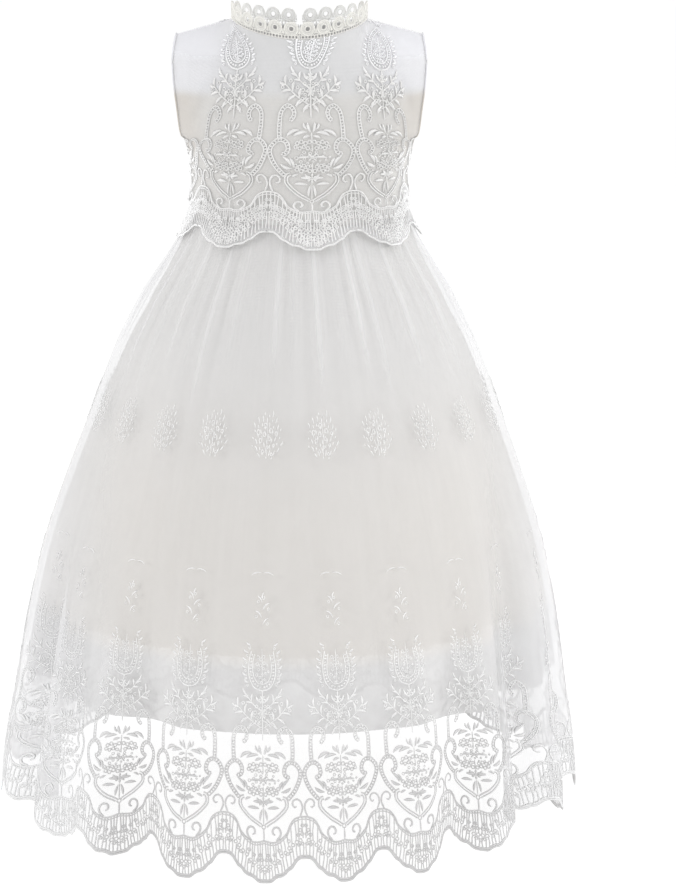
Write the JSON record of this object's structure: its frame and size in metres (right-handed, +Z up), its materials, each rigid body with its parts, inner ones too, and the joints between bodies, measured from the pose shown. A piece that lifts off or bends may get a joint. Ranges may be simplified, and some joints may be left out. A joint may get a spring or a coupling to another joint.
{
  "type": "christening gown",
  "caption": "Sleeveless christening gown with a standing neck trim, a scalloped lace top over a fitted bodice and a full layered skirt with a scalloped hem.",
  "frame": {"origin": "midway between the neck ends of the shoulder seams, where the wearer's shoulders carry the gown", "axes": "+Z up, the front faces -Y, +X is the wearer's left"},
  "size_m": [0.5138, 0.4985, 0.6967],
  "materials": {
    "ivory_satin": "soft satin, ivory",
    "white_lace": "matt embroidered net and corded lace",
    "white_net": "matt sheer net",
    "pearl_button": "pearly"
  },
  "bodies": {
    "root": {"bodice_front": "ivory_satin", "bodice_back_left": "ivory_satin", "bodice_back_right": "ivory_satin", "skirt_lining_front": "ivory_satin", "skirt_lining_back": "ivory_satin", "lace_top_front": "white_lace", "lace_top_back_left": "white_lace", "lace_top_back_right": "white_lace", "neck_trim_front": "white_lace", "neck_trim_back_left": "white_lace", "neck_trim_back_right": "white_lace", "skirt_lace_front": "white_lace", "skirt_lace_back": "white_lace", "button_loop": "white_lace", "skirt_net_front": "white_net", "skirt_net_back": "white_net", "button": "pearl_button"}
  },
  "joints": []
}
